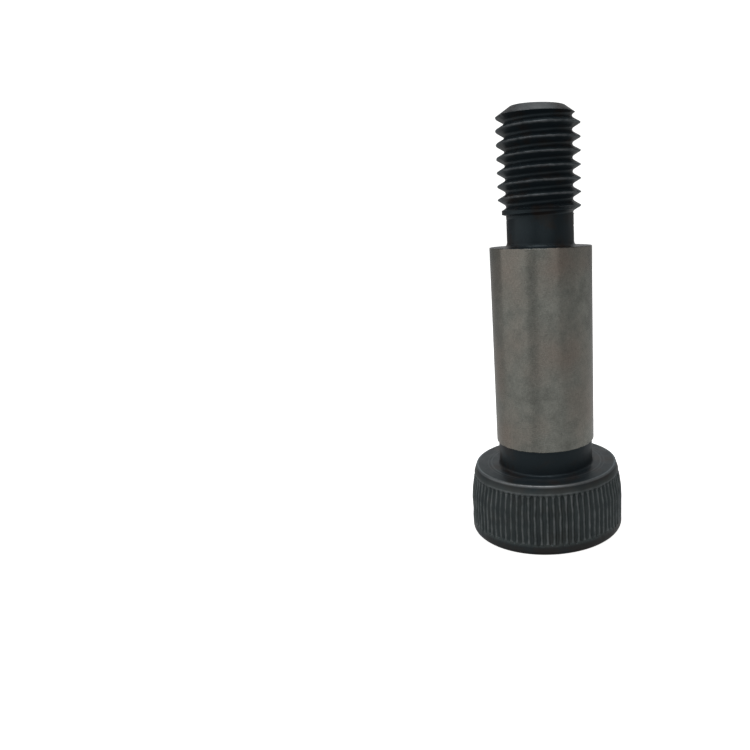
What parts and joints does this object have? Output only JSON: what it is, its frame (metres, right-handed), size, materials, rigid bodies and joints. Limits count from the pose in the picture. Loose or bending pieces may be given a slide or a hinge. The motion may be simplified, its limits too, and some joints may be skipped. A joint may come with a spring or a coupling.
{
  "type": "shoulder bolt",
  "caption": "Socket head shoulder bolt standing on its knurled head: ground shoulder between two undercuts and a short threaded end.",
  "frame": {"origin": "centre of the head's flat end, which the bolt stands on", "axes": "+Z along the bolt's axis, from the head to the thread's tip; +X across two of the knurl's ridges"},
  "size_m": [0.0158, 0.0158, 0.0418],
  "materials": {
    "steel": "black oxide on the head, the undercuts and the thread, ground bright on the shoulder"
  },
  "bodies": {
    "root": {"shoulder_bolt": "steel"}
  },
  "joints": []
}
